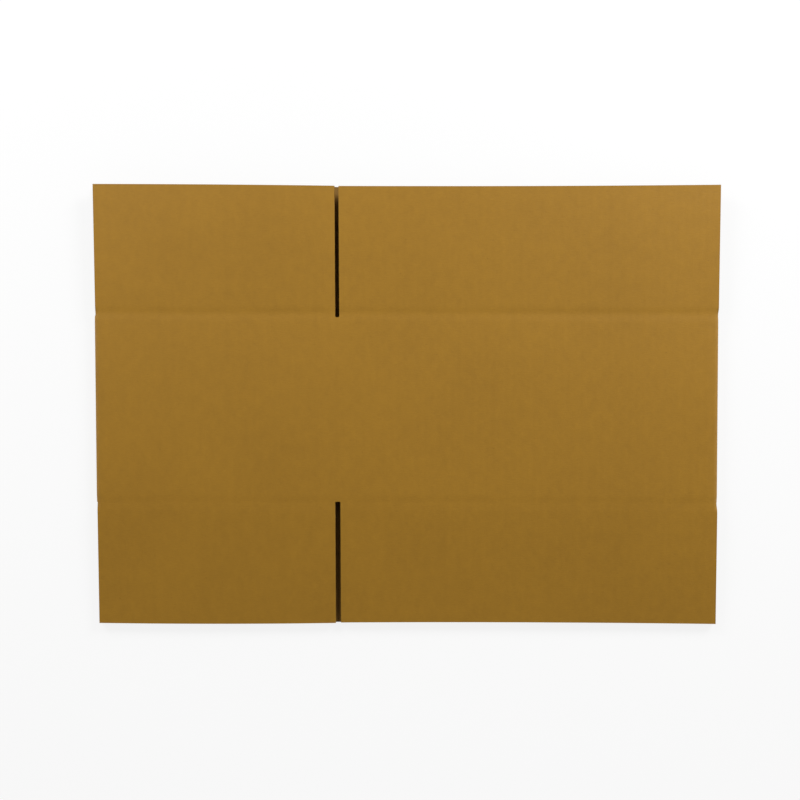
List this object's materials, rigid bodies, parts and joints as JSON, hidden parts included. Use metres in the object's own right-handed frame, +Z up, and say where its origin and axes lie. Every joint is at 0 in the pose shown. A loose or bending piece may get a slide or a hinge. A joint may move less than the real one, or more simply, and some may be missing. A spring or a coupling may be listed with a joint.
{
  "type": "flattened cardboard box",
  "caption": "Slotted shipping carton in brown corrugated board, folded flat: a glued sleeve of panels whose upper flaps hinge at their creases.",
  "frame": {"origin": "on the surface that the carton lies on, under the middle of its length and width", "axes": "+X along the folded carton's longer side, towards the fold at the upper side panel; +Y towards the top flaps; +Z up, out of the upper layer's face"},
  "size_m": [0.5864, 0.413, 0.0136],
  "materials": {
    "kraft_board": "matt brown kraft liner on single-wall corrugated board"
  },
  "bodies": {
    "sleeve": {"sleeve": "kraft_board"},
    "top_minor_flap": {"top_minor_flap": "kraft_board"},
    "top_major_flap": {"top_major_flap": "kraft_board"},
    "bottom_minor_flap": {"bottom_minor_flap": "kraft_board"},
    "bottom_major_flap": {"bottom_major_flap": "kraft_board"}
  },
  "joints": [
    {"name": "top_minor_crease", "type": "hinge", "parent": "sleeve", "child": "top_minor_flap", "pos_m": [-0.179, 0.0865, 0.00905], "axis": [1, 0, 0], "range_deg": [0, 135]},
    {"name": "top_major_crease", "type": "hinge", "parent": "sleeve", "child": "top_major_flap", "pos_m": [0.115, 0.0865, 0.00905], "axis": [1, 0, 0], "range_deg": [0, 135]},
    {"name": "bottom_minor_crease", "type": "hinge", "parent": "sleeve", "child": "bottom_minor_flap", "pos_m": [-0.179, -0.0915, 0.00905], "axis": [-1, 0, 0], "range_deg": [0, 135]},
    {"name": "bottom_major_crease", "type": "hinge", "parent": "sleeve", "child": "bottom_major_flap", "pos_m": [0.115, -0.0915, 0.00905], "axis": [-1, 0, 0], "range_deg": [0, 135]}
  ]
}
